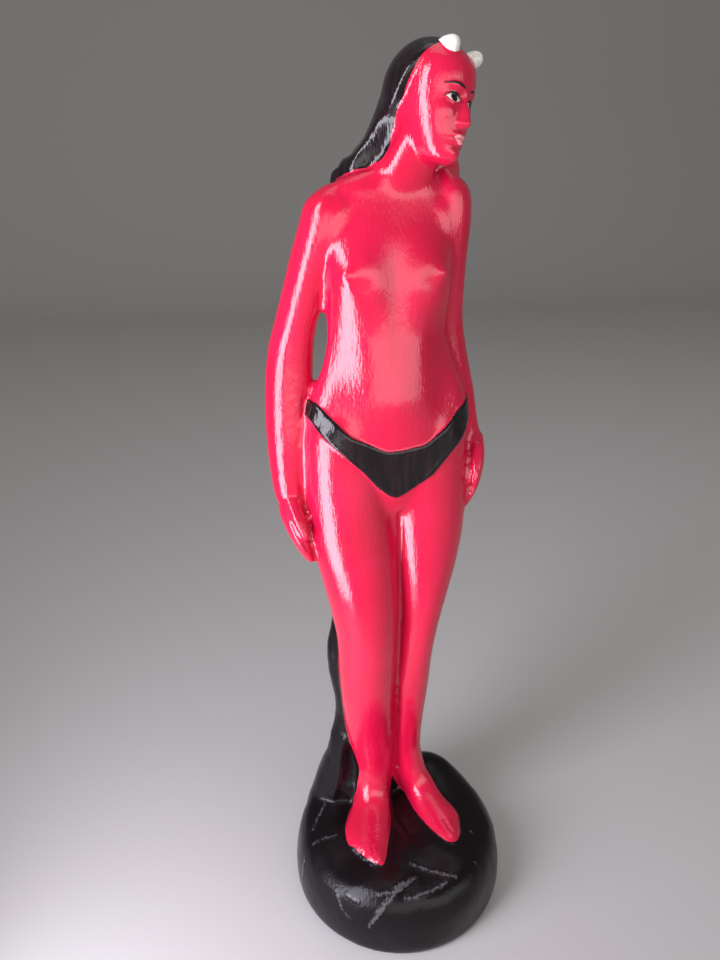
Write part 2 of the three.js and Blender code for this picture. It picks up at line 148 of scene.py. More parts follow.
# The flesh that joins the legs
WEB = (
    (ROCK_TOP - 2, 5, 6.6, 5, 2.6, 4),
    (ANKLE - 7, 5, 6.4, 4.2, 2.6, 4),
    (ANKLE + 5, 4.6, 5.4, 4, 3.2, 4.4),
    (CALF - 12, 4.4, 3.8, 4, 4, 5),
    (CALF + 10, 3.8, 1.8, 3.6, 5.4, 6),
    (THIGH, 2.6, 0.8, 3.4, 7.6, 7),
    (CROTCH, 0.8, 1, 3, 8.6, 8),
)
NECK = (
    (SHOULDER - 5, 1, 3.4, 13, 6.4, 6.4),
    (SHOULDER + 2, 2, 3, 11, 6.4, 6.4),
    (SHOULDER + 5, 3.2, 2.4, 8.6, 6, 6.2),
    (SHOULDER + 9, 5.6, 0.8, 7, 5.8, 6),
    (HEAD.z - 5, 8.2, -1.8, 6.6, 5.6, 6.4),
)
# The fuller flesh from the neck up into her right cheek
THROAT = (
    (SHOULDER - 5, 2, 3, 8, 4.6, 5),
    (SHOULDER, 2.6, 2, 8, 5.2, 5),
    (SHOULDER + 4, 4, 0.2, 7.4, 5, 5),
    (HEAD.z - 11, 5.8, -2.2, 6.9, 4.9, 5),
    (HEAD.z - 6, 7.4, -4.2, 6.2, 4.6, 5),
    (HEAD.z - 1, 8, -5, 4, 3.4, 4),
)
# The flesh that fills the corner between a shoulder and the chest, on her left
CORNER = (
    (197, 14.6, 3, 2.6, 2.6, 3),
    (202, 14.6, 2.8, 4.8, 5, 4),
    (208, 14, 2.8, 6, 6, 4),
    (214, 12.6, 3.2, 5.6, 5.9, 4),
    (218.5, 10.4, 3.4, 3, 3.4, 3),
)
RIGHT_ARM = (
    (137, -27.4, 1.8, 4, 4.4, 4.4),
    (143, -27.5, 2.8, 4.9, 5, 5),
    (151, -27.1, 4, 5.8, 5.6, 5.6),
    (160, -26.7, 5.2, 6.3, 5.8, 5.8),
    (169, -26, 6.2, 6.5, 6, 6),
    (178, -25.1, 6.8, 6.2, 6.2, 6),
    (185, -23.5, 6.7, 5.8, 6.4, 6.2),
    (193, -21.1, 6.2, 6, 6.8, 6.4),
    (201, -18.7, 5.4, 6.3, 7, 6.8),
    (209, -16.4, 4.4, 6.2, 6.8, 6.8),
    (215, -14.8, 4, 5.8, 5.8, 6.2),
    (219, -12.6, 3.8, 2.8, 2.8, 3),
)
LEFT_ARM = (
    (147.5, 26.4, 3, 3.8, 4.2, 4.2),
    (151, 25.3, 3.6, 4.5, 4.8, 4.8),
    (157, 23.4, 4.6, 5.3, 5.4, 5.4),
    (164, 21.9, 5.8, 6, 5.8, 5.8),
    (174, 19.6, 6.6, 6.1, 6, 6),
    (184, 17.8, 6.6, 5.9, 6.2, 6),
    (193, 17.2, 6, 6, 6.8, 6.4),
    (202, 17.1, 5.2, 6.2, 7, 6.8),
    (211, 17.3, 4.2, 6.2, 6.8, 6.8),
    (218.2, 17, 3.8, 5.6, 5.8, 6.2),
    (222.8, 15.2, 3.8, 2.6, 2.8, 3),
)
# The head and a horn, each about its own middle
SKULL = (
    (-13.6, 0, -5.4, 2, 2, 2),
    (-12.8, 0, -4.6, 3.6, 3.8, 3.6),
    (-10.5, 0, -3.4, 5.4, 5.6, 6),
    (-7, 0, -2, 7, 7.4, 8.4),
    (-3, 0, -0.8, 8.1, 8.6, 9.8),
    (1, 0, -0.2, 8.7, 9, 10.8),
    (5, 0, 0, 8.9, 9.2, 11),
    (8.6, 0, 0.2, 8, 8.4, 10),
    (11.2, 0, 0.4, 6, 6.2, 7.6),
    (12.8, 0, 0.6, 2.6, 2.8, 3.4),
)
HORN = (
    (-3.2, 0, 0.3, 0.3, 0.3, 0.3),
    (-2, 0, 0.2, 1, 1, 1),
    (-0.4, 0, 0, 1.65, 1.65, 1.65),
    (0.9, 0, 0, 1.85, 1.85, 1.85),
    (2, 0, 0, 1.4, 1.4, 1.4),
    (2.5, 0, 0, 0.4, 0.4, 0.4),
)
# Where the horns stand, in the head's own frame
HORN_PLACES = ((5.3, -5.4, 11.2), (-4.3, -5, 11.4))
# The hair that falls behind her shoulders
FALL = (
    (178, 1, 11.4, 1.5, 1.6, 1.2),
    (182, 1, 11.4, 6.4, 2.8, 2.2),
    (192, 1.4, 12.2, 12, 3.2, 2.6),
    (203, 2.2, 13, 15.6, 3.8, 2.8),
    (212, 3.2, 12.8, 17.2, 4.6, 3.4),
    (218.6, 4.4, 10.8, 17.2, 6.2, 4),
    (222.5, 4.7, 9, 17, 7.6, 4.6),
    (228, 6.3, 6.4, 12.8, 7.4, 4.6),
    (234, 6.6, 4.2, 10, 7.4, 5),
    (240, 6.4, 2.6, 7.8, 5.4, 5),
    (245, 6.4, 1.2, 6, 3.4, 4),
    (248, 6.8, 0.4, 3, 1.6, 2),
)
# The rock that rises behind her legs, from the figurine's own origin
SPUR = (
    (0, -8.6, 15.4, 18.4, 10, 12),
    (8, -8.8, 15.8, 19.4, 10, 12.8),
    (16, -9, 15.8, 19, 10, 13),
    (24, -9, 15.6, 17, 9, 12),
    (36, -8.4, 15, 13.8, 8, 9),
    (46, -7.8, 14.6, 11.7, 8, 7),
    (58, -7.4, 14.6, 10.4, 8, 6),
    (74, -8, 14.4, 11.9, 8, 5.6),
    (84, -8, 14, 12.2, 8, 5.4),
    (95, -7.4, 13.4, 10.8, 8, 5),
    (104, -8.2, 12.4, 8.8, 7, 4.6),
    (109.5, -9, 11.6, 6.4, 5, 3.6),
    (111.5, -9.4, 11.2, 3, 2, 1.6),
)
# A hand without its thumb, and the thumb, as on her left; hand() mirrors them for her right.
MITTEN = (
    (118.6, 22.6, -2, 0.5, 1.2, 1.2),
    (120, 23.2, -1.8, 1.5, 3.4, 3.2),
    (124, 24.9, -1.2, 2.3, 5, 4.6),
    (129, 26.4, -0.2, 3.1, 5.5, 4.8),
    (134, 27, 1, 3.9, 5, 4.4),
    (140, 27.2, 2, 3.4, 3.8, 3.8),
)
THUMB = (
    (127.4, 24.6, -7, 0.6, 0.5, 0.5),
    (128.8, 25, -6.6, 1.4, 1.3, 1.3),
    (133, 26.4, -4.8, 2, 1.6, 1.8),
    (138.4, 27.8, -1.8, 1.8, 1.4, 1.6),
)
# The feet's stations are (distance forward, x, height, half width, depth below, depth above).
HEEL = ((-6, 0, 3.4, 1, 1.4, 1.6), (-4.2, 0, 3.6, 3.6, 3.6, 4.4))
RIGHT_SOLE = (
    *HEEL,
    (1, 0.1, 4.4, 4.8, 4.4, 7.2),
    (7, 0.2, 4.2, 5.8, 4.2, 9.4),
    (9.6, 0.2, 3.9, 6.3, 3.9, 6.8),
    (13, 0.1, 3.4, 6.8, 3.4, 4.7),
    (19, 0.3, 2.7, 7.1, 2.7, 3.4),
    (23.6, 1.4, 2.2, 6.4, 2.2, 2.7),
    (27, 3.6, 2, 4.3, 2, 2.2),
    (29.6, 5.3, 1.8, 2.3, 1.6, 1.7),
    (30.6, 6, 1.6, 0.8, 0.6, 0.6),
)
LEFT_SOLE = (
    *HEEL,
    (1, 0.2, 4.4, 4.8, 4.4, 7.2),
    (7, -0.3, 4.2, 4.9, 4.2, 9),
    (9.6, -0.1, 3.9, 5.2, 3.9, 6.6),
    (13, 0.2, 3.4, 5.6, 3.4, 4.4),
    (19, 1.2, 2.7, 6, 2.7, 3.4),
    (23.6, 0.7, 2.2, 4.9, 2.2, 2.7),
    (27, 0.4, 2, 3.3, 2, 2.2),
    (28.9, 0.1, 1.8, 1.8, 1.6, 1.7),
    (29.5, 0, 1.6, 0.6, 0.6, 0.6),
)
# The ramps of flesh in front of the ankles
RIGHT_INSTEP = (
    (24, -4.6, -2.7, 4, 4, 6),
    (30, -2.9, 1, 5, 4.6, 5),
    (36, -1.8, 3.4, 5.6, 5.2, 5.4),
    (42, -1.9, 3.8, 6, 5.4, 5.4),
)
LEFT_INSTEP = (
    (24, 14.9, -1.9, 3.4, 3.6, 6),
    (30, 13, 2.2, 4.2, 4.6, 5),
    (36, 11.4, 4.4, 4.5, 4.9, 5),
    (42, 10.2, 5, 4.5, 4.9, 5),
)
# Where each foot stands: (x, y, degrees that it turns to her left).
RIGHT_FOOT = (-1.2, 4.6, -25)
LEFT_FOOT = (13.8, 5.6, 8)
# The corner where the fall leaves the cap beside her right cheek, and how far it is rounded.
FALL_CORNER = (-6.2, 1, 236.5)
FALL_CORNER_REACH = 3
# Spots that are rounded once more, (place, reach): in front of the ankles, then below that corner.
ROUND_SPOTS = (
    ((-7, 3, 32), 4.5),
    ((7.6, 4.2, 33), 4.5),
    ((-5.6, 0.5, 235.5), 3.4),
    ((-4.5, 2.4, 231.5), 3.2),
)
# Rises of the rock's upper side: (x, y, half width, half depth, rise).
HEAPS = (
    (20, 19, 13, 11, 5.4),
    (-16, 20, 12, 10, 5),
    (-22, -14, 10, 9, -1.6),
    (24, -12, 9, 9, -1.2),
    (2, -24, 8, 6, -1.4),
)
# Soft bumps and hollows of the face, alike on both sides: (x, height, half width, half height, rise).
FACE = (
    (1.55, -4.9, 0.75, 0.8, 0.55),
    (0, 6.4, 6, 3.4, 0.35),
    (3.2, 2.5, 2.7, 0.85, 0.5),
    (3.3, 0.25, 2.3, 1.45, -1.05),
    (1.55, 0.7, 0.9, 1.3, -0.55),
    (3.4, -0.1, 1.75, 0.95, 0.8),
    (5.2, -3, 2.4, 2.3, 0.5),
    (0, -6.6, 0.5, 0.8, -0.12),
    (0, -7.9, 3.4, 1.9, 0.7),
    (0.7, -7.4, 1.4, 0.5, 0.45),
    (0, -8.75, 1.7, 0.6, 0.55),
    (0, -9.9, 2.2, 0.6, -0.35),
    (0, -11.7, 2.6, 1.7, 1.15),
)
# The edge of her hair seen from the side of the head: (height, y), in the head's own frame.
HAIRLINE = (
    (-16, 9), (-7.6, 8), (-6.2, 6), (-4.2, 4), (-1.6, 2.6),
    (2, 1), (6, -0.6), (9, -1.8), (11.4, -3), (14, -4.4),
)
# How wide the slope is between that edge and the crest of the hair: (height, width).
HAIR_SLOPE = ((-9, 4.5), (-5, 3.8), (-1, 2.4), (3, 1.9), (8, 1.9), (12, 1.4))
# The same edge where the fall passes her neck on her right: (height, how far along NECK_ACROSS).
NECK_EDGE = (
    (217, -16), (219, -13), (222.6, -6.9), (226, -5.4),
    (230, -5), (235, -3.8), (237.6, -2.9), (239, -2.4),
)
NECK_ACROSS = (0.966, -0.259)
# Outlines of the band round her hips, (x, height) from her own axis.
BAND_FRONT = (
    (-30, 170), (-24.4, 167), (-20.3, 164.8), (-18.7, 163.2), (-16.5, 160.8), (-14.1, 158.2),
    (-12.4, 156.7), (-9.1, 155.2), (-5.6, 153.5), (-2.9, 152.3), (0.5, 152.4), (3.9, 152.9),
    (7.4, 153.3), (9.2, 154.1), (11.3, 155.8), (13.8, 157.6), (16.2, 159.8), (19.6, 162.3),
    (22.9, 164.6), (30, 168), (30, 163.4),
    (24.4, 159.6), (21.6, 156), (19.5, 153.6), (15.9, 150.4), (12.8, 147.2), (10.4, 144.5), (8.1, 142.8),
    (5.5, 141.1), (2.6, 139.3), (0.4, 138.4), (-1.7, 139.2), (-4.6, 141.4), (-6.9, 144), (-8.9, 146.4),
    (-12.4, 149.7), (-15.4, 152.5), (-18.3, 155.3), (-20.5, 157.7), (-22, 160.2), (-25, 163.4), (-30, 166),
)
BAND_BACK = (
    (-30, 170), (-20, 165.5), (-10, 163), (0.5, 162), (10, 163), (20, 165.5), (30, 168), (30, 163.4),
    (23, 157), (16, 148), (9, 139.6), (4, 134.6), (0.4, 132.4), (-4, 134.6), (-9, 139.6), (-16, 148),
    (-23, 158), (-30, 166),
)
# Lines scored or raised, each a row of points in the figurine's own place.
CREST = (
    (2.5, -3.3, 247.7), (-2.1, -3.2, 243.1), (-4.4, -1.7, 238.8), (-5.4, 0.8, 236.2),
    (-6.4, 5, 233.4), (-8.9, 7.8, 228.1), (-10.6, 9, 225), (-11.9, 10, 222.3),
)
CLEFT = (
    (-2, -2.6, 133), (-1.8, -2, 127.6), (-1.5, -2.5, 118.3), (-1, -1.6, 108), (-0.8, -0.9, 97.5),
    (-0.6, 0.3, 86.2), (-0.2, 1.7, 74.2), (0.2, 3.2, 61.6), (1.3, 5.8, 47.5), (2.3, 7.6, 34),
)
FINGER_RIDGES = (
    ((-32.3, 1.2, 136.8), (-31.1, -0.8, 133.4), (-30.1, -2.2, 130.5), (-28.7, -2.9, 128.4)),
    ((-32.6, 1.1, 131.7), (-31.2, -0.4, 127.6), (-29.3, -1, 124.2), (-27.8, -0.7, 122)),
    ((20.5, 0.6, 146.9), (20.6, -1, 144.8), (20.8, -2.5, 141.5), (20.2, -2.4, 136)),
)
FINGER_GROOVES = (
    ((-31.6, 0.8, 132.6), (-30.2, -1.2, 129.6), (-29, -2, 127)),
    ((-29.4, -1.8, 127), (-28.3, -1, 123.3)),
    ((19.5, -1.5, 142.8), (20.4, -1.1, 137.2)),
    ((-34.2, 4, 134), (-33, 3.4, 127.5), (-30.4, 2.4, 122.4)),
    ((28, 3.4, 146), (27, 2.6, 140), (24.4, 1.8, 134.6)),
)
TOE_LINES = (
    ((12.9, -8.8, 25.2), (14.1, -13.9, 24.1)),
    ((15.6, -9.2, 24.4), (16.6, -12.6, 23.4)),
    ((-12.6, -13, 25), (-12.8, -17.6, 23.4)),
    ((-14.4, -10.6, 24.6), (-15.2, -14.2, 23)),
)
# Strokes on the rock, each as (half width, points), raised a little and painted a lighter grey: partly
# rubbed paint, partly painted highlight along the rock's ridges.
RUB_AND_GLINT_STROKES = (
    (0.4, ((-2.2, -20.2, 22.1), (3.9, -23.9, 21.1), (10, -27.1, 20.3))),
    (0.5, ((6.5, -28.1, 20.1), (1.4, -29.5, 19.8), (-3, -29.8, 19.6), (-6.7, -29.5, 19.5))),
    (0.55, ((-1.9, -24.7, 21.2), (-7, -26.6, 20.8), (-10.6, -28.1, 19.7),
            (-13.5, -29, 17.6), (-17.7, -28.7, 11.2))),
    (0.35, ((-7.2, -27.3, 20.5), (-10.7, -27.2, 20.3), (-14, -26.4, 19.9))),
    (0.8, ((-6.4, -25.8, 20.9), (-9.2, -26.8, 20.6))),
    (0.25, ((-29.5, -3.3, 20.1), (-25.7, -3.3, 21.6), (-22.1, -3.7, 22.1))),
    (0.3, ((-28.5, 1.7, 20.8), (-25.8, 5.7, 22.1), (-22.9, 9.3, 23.5))),
    (0.3, ((-25.8, -19, 16.7), (-25.3, -21, 14.8), (-24.8, -22.6, 13.2), (-22.8, -24.8, 11.1))),
    (0.4, ((-23, -21.8, 17.4), (-21.5, -23.4, 17.2), (-20.1, -24.9, 17.1))),
    (0.35, ((-32.5, -4.2, 15.5), (-33.5, -5.3, 10.1), (-33.7, -4.5, 4))),
    (0.2, ((-18.4, -10.6, 22), (-17.4, -12.2, 22))),
    (0.25, ((-16.4, -13.8, 22), (-15.4, -15.4, 22))),
    (0.2, ((-14.4, -17.4, 22), (-13.2, -18.4, 22))),
    (0.2, ((18.4, -23.6, 20.6), (18.8, -24.2, 20.4))),
    (0.2, ((21.6, -12.6, 21.4), (21.9, -13.2, 21.4))),
)
FOOT_CREASES = (
    ((4.8, 2.9, 23.1), (6, -0.7, 23.3), (6.9, -4.9, 22.9),
     (7.6, -9.4, 22.8), (9.2, -13, 22.8), (12.4, -16.6, 22.4)),
    ((-1.1, -4, 22.5), (0.2, -10.7, 22.8), (2.8, -15.1, 22.5)),
)
SPUR_RIDGE = (
    (-15.4, 9.2, 49.1), (-16.4, 9.3, 43.5), (-17, 9.1, 37.7), (-18, 9.1, 32.1), (-19.7, 9.3, 26.3),
)
SPUR_HOLLOW = ((-13.4, 8.6, 44), (-13.6, 8.4, 38), (-14.4, 8.2, 32.4))
# (x, height) from her own axis
NIPPLES = ((-13.1, 197.4), (12.4, 197.9))
# The edge of the rock's black, which runs over the toes of her right foot: (x, y).
TOE_PAINT = (
    (-21.5, -4), (-19.3, -7.7), (-17.5, -10.6), (-15.7, -13.8), (-13.8, -17), (-11.9, -18.6), (-9, -22),
)

# The photograph's camera, in metres and degrees, and the stage's floor with its rounded step up
CAMERA_PLACE = (-0.0613, -0.1803, 0.211)
CAMERA_PITCH = 70
CAMERA_TURN = -15
FLOOR_HALF = 1.5
BEND_RADIUS = 0.6
BEND_STEPS = 12
BACKDROP_HEIGHT = 1.6


def rise(low, high, value):
    """A soft step from 0 at low to 1 at high."""
    share = np.clip((value - low) / (high - low), 0, 1)
    return share * share * (3 - 2 * share)


def bell(distance, half_width):
    """A soft bump, 1 in the middle and 1 / e at the half width."""
    return np.exp(-((distance / half_width) ** 2))


def points_of(bm):
    return np.array([v.co for v in bm.verts], float).reshape(-1, 3)


def set_points(bm, places):
    for vert, place in zip(bm.verts, places):
        vert.co = place


def station_at(stations, share):
    """The stations at shares of the way up, on a smooth curve through the given ones."""
    rows = np.array(stations, float)
    spots = np.vstack((2 * rows[0] - rows[1], rows, 2 * rows[-1] - rows[-2]))
    place = np.clip(share, 0, 1) * (len(rows) - 1)
    first = np.minimum(place.astype(int), len(rows) - 2)
    t = (place - first)[:, None]
    a, b, c, d = (spots[first + k] for k in range(4))
    return 0.5 * (2 * b + (c - a) * t + (2 * a - 5 * b + 4 * c - d) * t**2 + (3 * b - a - 3 * c + d) * t**3)


def carve(bumps, across, along):
    """How far soft bumps stand out at each place, as rows of (place, place, half size, half size, rise)."""
    out = np.zeros(len(across))
    for a, b, half_a, half_b, up in bumps:
        out += up * bell(across - a, half_a) * bell(along - b, half_b)
    return out


def loft(stations, sides=40, steps=48, squareness=2.0, front=(), behind=()):
    """A closed round shell through the stations, with soft bumps in front and behind."""
    bm = bmesh.new()
    bmesh.ops.create_cone(bm, cap_ends=True, segments=sides, radius1=1, radius2=1, depth=1)
    upright = [e for e in bm.edges if abs(e.verts[0].co.z - e.verts[1].co.z) > 0.5]
    bmesh.ops.subdivide_edges(bm, edges=upright, cuts=steps - 1)
    across, back, height = points_of(bm).T
    station = station_at(stations, height + 0.5)
    boxy = (np.abs(across) ** squareness + np.abs(back) ** squareness) ** (-1 / squareness)
    x = station[:, 1] + across * boxy * station[:, 3]
    y = station[:, 2] + back * boxy * np.where(back < 0, station[:, 4], station[:, 5])
    z = station[:, 0]
    fade = np.minimum(1, np.abs(back) * 2.5)
    y += fade * np.where(back < 0, -carve(front, x, z), carve(behind, x, z))
    set_points(bm, np.stack((x, y, z), 1))
    return bm


def moved(shells, matrix):
    for bm in shells:
        bmesh.ops.transform(bm, matrix=matrix, verts=bm.verts)
    return shells


def merged(shells):
    """All shells in one bmesh."""
    whole = bmesh.new()
    for bm in shells:
        part = bpy.data.meshes.new("shell")
        bm.to_mesh(part)
        whole.from_mesh(part)
        bpy.data.meshes.remove(part)
    return whole


def head_place():
    """From the head's own frame, its face towards -Y, to the row's."""
    turn = Matrix.Rotation(math.radians(HEAD_TURN), 4, "Z")
    tilt = Matrix.Rotation(math.radians(HEAD_TILT), 4, "Y")
    nod = Matrix.Rotation(math.radians(HEAD_NOD), 4, "X")
    return Matrix.Translation(BODY + HEAD) @ turn @ tilt @ nod


def hand(side):
    """A hand that lies against the outside of the thigh. Her left one is held higher."""
    up = 12 if side == LEFT else 0
    inwards = 0.7 if side == LEFT else 0

    def lift(rows):
        return [(z + up, side * (x - inwards), *rest) for z, x, *rest in rows]

    return [loft(lift(MITTEN), 40, 40), loft(lift(THUMB), 24, 24)]


def foot(sole, x, y, turn):
    """A foot, lofted upright from the heel and laid on the rock with its toes forward."""
    lie = Matrix.Translation((0, 2, 0)) @ Matrix.Rotation(math.pi / 2, 4, "X")
    stand = Matrix.Translation((x, y, ROCK_TOP - 1.6)) @ Matrix.Rotation(math.radians(turn), 4, "Z")
    return moved([loft(sole, 44, 60)], stand @ lie)


def hair_edge(x, y, z):
    """How far a place on the head lies behind the edge of the hair, in the head's own frame."""
    line_z, line_y = np.array(HAIRLINE, float).T
    line = np.interp(z, line_z, line_y) - 3.9 * bell(x, 3) * rise(9, 12, z)
    return (y - line) * 0.86


def hair_cap(skull):
    """The hair on her head, which rises from the skin along its edge on a slope up to a crest."""
    bm = bmesh.new()
    bmesh.ops.create_uvsphere(bm, u_segments=160, v_segments=120, radius=1)
    bmesh.ops.scale(bm, vec=(10.3, 11.2, 12.2), verts=bm.verts)
    centre = Vector((0, 2.4, 2))
    slope_z, slope_w = np.array(HAIR_SLOPE, float).T
    full = points_of(bm)
    length = np.linalg.norm(full, axis=1)
    skin = np.array([(skull.ray_cast(centre, Vector(p))[0] or centre) - centre for p in full])
    under = np.linalg.norm(skin, axis=1)
    behind = hair_edge(skin[:, 0], skin[:, 1] + centre.y, skin[:, 2] + centre.z)
    width = np.interp(skin[:, 2] + centre.z, slope_z, slope_w)
    climb = rise(0, 1, behind / width)
    low = under + np.clip(behind * 0.9, -1, 0.1)
    tall = low + (length - low) * climb
    tall = np.where(under > length, length, tall)
    set_points(bm, full * (tall / length)[:, None] + centre)
    return bm


def horns():
    shells = []
    for at in HORN_PLACES:
        place = Matrix.Translation(at) @ Matrix.Rotation(1.75, 4, "X")
        shells += moved([loft(HORN, 28, 18)], place)
    return shells


def boulder():
    """The rounded rock that she stands on."""
    def ring(z, inset):
        return (z, 0, 0, ROCK_RADIUS - inset, ROCK_RADIUS - inset, ROCK_RADIUS - inset)

    rings = (ring(0, 1), ring(2.4, 0.2), ring(8, 0), ring(13, 0.5), ring(17.5, 2.1), ring(20.8, 5.2),
             ring(22.6, 11.2), ring(23, 20), ring(22.4, ROCK_RADIUS - 0.5))
    bm = loft(rings, 96, 60)
    places = points_of(bm)
    share = np.maximum(0, places[:, 2] / ROCK_TOP) ** 2
    places[:, 2] += share * carve(HEAPS, places[:, 0], places[:, 1])
    set_points(bm, places)
    return bm


def shells_of_the_figure():
    """The figure's closed shells by what they are, in millimetres, in the figurine's own place."""
    stand = Matrix.Translation(BODY)
    place = head_place()
    trunk = [loft(TORSO, 72, 90, 2.2, TORSO_FRONT, TORSO_BACK), loft(NECK, 40, 20), loft(THROAT, 36, 30)]
    trunk += [loft(leg, 48, 60, 2.1) for leg in (LEFT_LEG, RIGHT_LEG)]
    trunk += [loft(instep, 36, 30) for instep in (LEFT_INSTEP, RIGHT_INSTEP)]
    trunk += [loft(WEB, 24, 30)] + foot(LEFT_SOLE, *LEFT_FOOT) + foot(RIGHT_SOLE, *RIGHT_FOOT)
    arms = [loft(arm, 40, 48) for arm in (LEFT_ARM, RIGHT_ARM)] + hand(LEFT) + hand(RIGHT)
    trunk += [loft([(z, side * x, *rest) for z, x, *rest in CORNER], 32, 30) for side in (LEFT, RIGHT)]
    skull = loft(SKULL, 64, 60, 2.15)
    cap = hair_cap(BVHTree.FromBMesh(skull))
    return {
        "trunk": merged(moved(trunk, stand)),
        "arms": merged(moved(arms, stand)),
        "head": merged(moved([skull], place)),
        "cap": merged(moved([cap], place)),
        "fall": merged(moved([loft(FALL, 56, 60, 2.6)], stand)),
        "horns": merged(moved(horns(), place)),
        "rock": merged([boulder(), loft(SPUR, 48, 50)]),
    }


def reach(tree, places):
    """Signed distances from the places to a closed shell, negative inside it."""
    out = np.empty(len(places))
    for n, place in enumerate(places):
        near, normal, _, far = tree.find_nearest(place)
        out[n] = far if normal.dot(Vector(place) - near) > 0 else -far
    return out


def as_object(name, bm):
    mesh = bpy.data.meshes.new(name)
    bm.to_mesh(mesh)
    obj = bpy.data.objects.new(name, mesh)
    bpy.context.scene.collection.objects.link(obj)
    return obj


def settled(obj):
    """The object's mesh with its modifiers applied, and no modifiers left on it."""
    graph = bpy.context.evaluated_depsgraph_get()
    mesh = bpy.data.meshes.new_from_object(obj.evaluated_get(graph))
    old = obj.data
    obj.modifiers.clear()
    obj.data = mesh
    bpy.data.meshes.remove(old)
    return mesh


def vectors(items, key="co"):
    """A vector from each of a mesh's items, such as its vertices, as rows."""
    flat = np.empty(len(items) * 3, np.float32)
    items.foreach_get(key, flat)
    return flat.reshape(-1, 3).astype(float)


def in_head(places):
    """The places in the head's own frame."""
    back = np.array(head_place().inverted())
    return places @ back[:3, :3].T + back[:3, 3]


def of_body(places):
    """The places from her own axis."""
    return places - np.array(BODY)


def zones(places):
    """Where each place lies: near the head, on a hand, on a foot."""
    x, y, z = of_body(places).T
    head = (z > 222) & (np.linalg.norm(in_head(places), axis=1) < 19)
    hands = ((x < -20) & (z < 141) & (z > 112)) | ((x > 19.5) & (z < 152) & (z > 124))
    feet = (z < 36) & (z > 18) & (x > -22) & (x < 25) & (y < 8) & (y > -27)
    return head, hands, feet


def smoothed(obj, weight, passes):
    """Smooths a mesh by a weight from 0 to 1 at each of its points."""
    group = obj.vertex_groups.new(name="soft")
    steps = np.round(weight, 2)
    for value in np.unique(steps[steps > 0]):
        group.add(np.nonzero(steps == value)[0].tolist(), float(value), "REPLACE")
    smooth = obj.modifiers.new("soft", "SMOOTH")
    smooth.factor = 0.5
    smooth.iterations = passes
    smooth.vertex_group = group.name
    settled(obj)
    obj.vertex_groups.clear()


def softened(obj, passes, trees):
    """Rounds the joints of the cast, and less so its face, horns, hands and toes."""
    places = vectors(obj.data.vertices)
    x, y, z = of_body(places).T
    head, hands, feet = zones(places)
    weight = np.full(len(places), 0.5)
    weight = np.where(feet, 0.2 + 0.8 * rise(23.5, 26, z) * rise(-12, -8, y), weight)
    weight = np.maximum(weight, bell(z - 33, 5) * (np.abs(x - 5) < 18) * (y < 8))
    weight[hands] = 0.08
    near = np.nonzero(head)[0]
    some = places[near]
    local = in_head(some)
    jaw = rise(-6, -10, local[:, 2])
    mild = 0.07 + 0.9 * jaw
    cap, fall = reach(trees["cap"], some), reach(trees["fall"], some)
    edge = hair_edge(*local.T)
    mild = np.where(np.minimum(cap, fall) < 0.5, 0.06 + 0.6 * rise(1.5, 5, edge), mild)
    mild = np.where((fall < 0.5) & (fall < cap - 0.2), 0.9, mild)
    corner = np.linalg.norm(some - np.array(FALL_CORNER), axis=1)
    mild = np.maximum(mild, bell(corner, FALL_CORNER_REACH))
    mild[reach(trees["horns"], some) < 0.8] = 0.03
    weight[near] = mild
    smoothed(obj, weight, passes)
    places = vectors(obj.data.vertices)
    away = [np.linalg.norm(places - np.array(at), axis=1) / radius for at, radius in ROUND_SPOTS]
    smoothed(obj, bell(np.min(away, axis=0), 1), 3 * passes)


def voxels(obj, size):
    """Casts the outer surface of overlapping shells as one even mesh."""
    remesh = obj.modifiers.new("cast", "REMESH")
    remesh.mode = "VOXEL"
    remesh.voxel_size = size
    settled(obj)


def clean_tree(name, bm):
    """A search tree of the outer surface of overlapping shells."""
    obj = as_object(name, bm)
    voxels(obj, 0.5)
    outer = bmesh.new()
    outer.from_mesh(obj.data)
    tree = BVHTree.FromBMesh(outer)
    outer.free()
    bpy.data.objects.remove(obj)
    return tree


def refine(obj, wanted):
    """Splits each quad in four where wanted says so."""
    bm = bmesh.new()
    bm.from_mesh(obj.data)
    centres = np.array([f.calc_center_median() for f in bm.faces])
    chosen = wanted(centres)
    edges = {e for f, yes in zip(bm.faces, chosen) if yes for e in f.edges}
    bmesh.ops.subdivide_edges(bm, edges=list(edges), cuts=1, use_grid_fill=True)
    bm.to_mesh(obj.data)
    bm.free()


def drawn_to(obj, target):
    """Draws a mesh's points to the nearest places on another mesh."""
    wrap = obj.modifiers.new("true", "SHRINKWRAP")
    wrap.target = target
    wrap.wrap_method = "NEAREST_SURFACEPOINT"
    settled(obj)


def outline_reach(outline, x, z):
    """Signed distances from points to a closed outline, positive inside it."""
    corners = np.array(outline, float)
    best = np.full(len(x), 1e9)
    inside = np.zeros(len(x), bool)
    for (ax, az), (bx, bz) in zip(corners, np.roll(corners, -1, 0)):
        dx, dz = bx - ax, bz - az
        t = np.clip(((x - ax) * dx + (z - az) * dz) / (dx * dx + dz * dz), 0, 1)
        best = np.minimum(best, np.hypot(x - ax - t * dx, z - az - t * dz))
        crosses = (az > z) != (bz > z)
        with np.errstate(divide="ignore", invalid="ignore"):
            inside ^= crosses & (x < ax + (z - az) / (bz - az) * dx)
    return np.where(inside, best, -best)


def band_outline(places):
    """Signed distance to the outline of the band, positive inside it."""
    x, y, z = of_body(places).T
    return np.where(y < 1, outline_reach(BAND_FRONT, x, z), outline_reach(BAND_BACK, x, z))


def band_reach(places, arms):
    """The same, with the arms left free, which are given as distances."""
    return np.minimum(band_outline(places), arms - 0.4)


